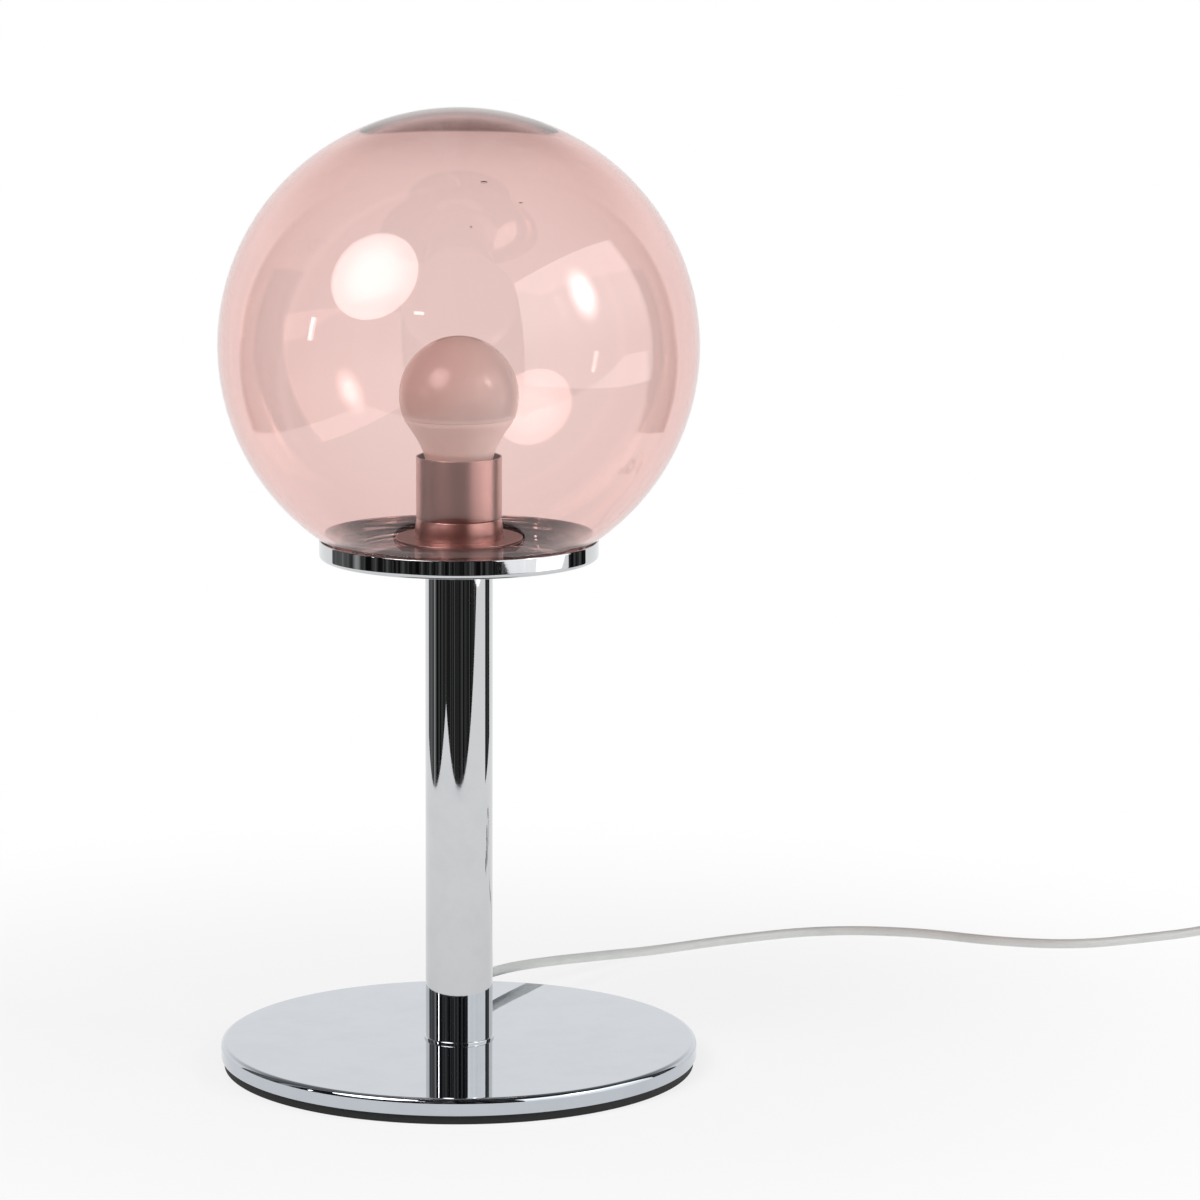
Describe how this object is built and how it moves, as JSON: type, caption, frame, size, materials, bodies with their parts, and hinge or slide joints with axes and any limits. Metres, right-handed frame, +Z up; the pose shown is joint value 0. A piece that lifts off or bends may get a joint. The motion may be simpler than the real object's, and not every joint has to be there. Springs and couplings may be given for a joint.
{
  "type": "table lamp",
  "caption": "Table lamp: clear tinted glass globe resting in a round metal tray on a tube stem and disc base, with an opal bulb, flex, switch and plug.",
  "frame": {"origin": "on the table, at the middle of the base pad's underside, under the stem's axis", "axes": "+Z up along the stem, -Y towards the front that the picture shows; the flex leaves at +Y and lies off to +X"},
  "size_m": [0.6903, 0.4049, 0.4852],
  "materials": {
    "chrome": "polished",
    "steel": "machined",
    "black_foam": "matte",
    "rose_glass": "clear, tinted, glossy",
    "clear_silicone": "satin",
    "ceramic": "glazed",
    "brass": "polished",
    "nickel": "satin",
    "opal": "satin, slightly see-through",
    "bulb_white": "satin",
    "black_glass": "glossy",
    "board": "matte",
    "phosphor": "satin",
    "grey_flex": "satin",
    "wire_sheath": "satin",
    "switch_white": "satin",
    "pin_sleeve_black": "matte"
  },
  "bodies": {
    "stand": {"base_plate": "chrome", "base_pad": "black_foam", "base_bolt": "steel", "base_washer": "steel", "stem_foot": "steel", "stem_ring": "chrome", "stem_tube": "chrome", "stem_head": "steel", "holder_nipple": "steel", "nipple_nuts": "steel", "collar_tray": "chrome", "globe_seat": "clear_silicone", "holder_cup": "chrome", "holder_flange": "chrome", "holder_sleeve": "chrome", "holder_core": "ceramic", "screw_shell": "nickel", "centre_contact": "brass", "side_contact": "brass", "terminal_blocks": "brass", "terminal_screws": "steel", "inner_cord": "grey_flex", "core_wires": "wire_sheath", "cord_bushing": "grey_flex", "cord_run": "grey_flex", "cord_coil": "grey_flex", "cord_lead": "grey_flex", "cord_tail": "grey_flex", "plug_body": "grey_flex", "pin_sleeves": "pin_sleeve_black", "plug_pins": "nickel", "switch_base": "switch_white", "switch_cover": "switch_white", "rocker_lugs": "switch_white", "switch_contacts": "brass", "switch_screws": "steel"},
    "globe": {"glass_globe": "rose_glass"},
    "bulb_screw": {"bulb_insulator": "black_glass", "bulb_tip": "nickel"},
    "bulb": {"bulb_cap": "nickel", "bulb_body": "bulb_white", "bulb_dome": "opal", "led_board": "board", "led_chips": "phosphor", "driver_board": "board"},
    "rocker": {"switch_rocker": "switch_white"}
  },
  "joints": [
    {"name": "globe_lift", "type": "slide", "parent": "stand", "child": "globe", "axis": [0, 0, 1], "range_m": [0, 0.13]},
    {"name": "bulb_lift", "type": "slide", "parent": "stand", "child": "bulb_screw", "axis": [0, 0, 1], "range_m": [0, 0.0109]},
    {"name": "bulb_turn", "type": "hinge", "parent": "bulb_screw", "child": "bulb", "pos_m": [0, 0, 0.28], "axis": [0, 0, 1], "range_deg": [0, 1080]},
    {"name": "rocker_tip", "type": "hinge", "parent": "stand", "child": "rocker", "pos_m": [0.482, 0.272, 0.0108], "axis": [0, 1, 0], "range_deg": [0, 16]}
  ],
  "couplings": [
    {"joint": "bulb_lift", "follows": "bulb_turn", "m_per_rad": 0.00057757}
  ]
}
